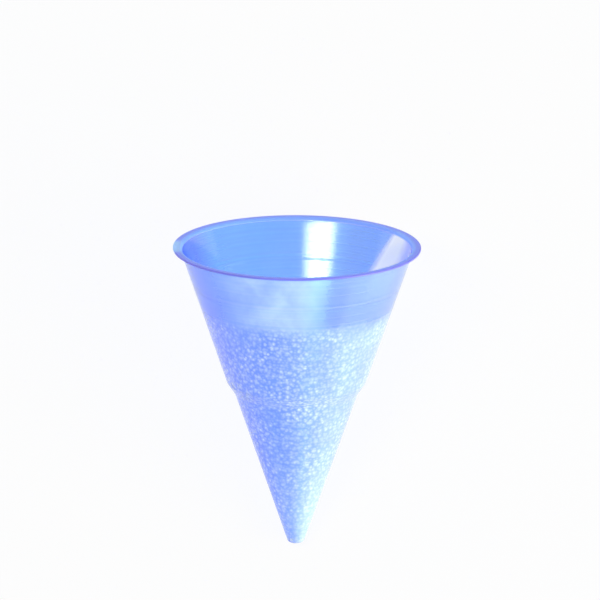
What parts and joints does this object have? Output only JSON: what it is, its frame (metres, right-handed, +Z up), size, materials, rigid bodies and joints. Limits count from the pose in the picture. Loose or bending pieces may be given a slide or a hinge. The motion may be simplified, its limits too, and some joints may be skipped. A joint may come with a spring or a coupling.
{
  "type": "plastic cone cup",
  "caption": "Conical translucent plastic drinking cup with a flat turned-out lip, a shoulder in its tapered wall and a small blunt tip.",
  "frame": {"origin": "centre of the lying cup's bounding box, at the surface that it lies on", "axes": "+Z up from the surface, +Y level from the tip towards the mouth, +X across the mouth; the cup's own axis lies in the YZ plane and rises 21 degrees towards the mouth"},
  "size_m": [0.075, 0.1008, 0.0701],
  "materials": {
    "cup_plastic": "clear blue-tinted plastic, glossy on both faces"
  },
  "bodies": {
    "root": {"cone_cup": "cup_plastic"}
  },
  "joints": []
}
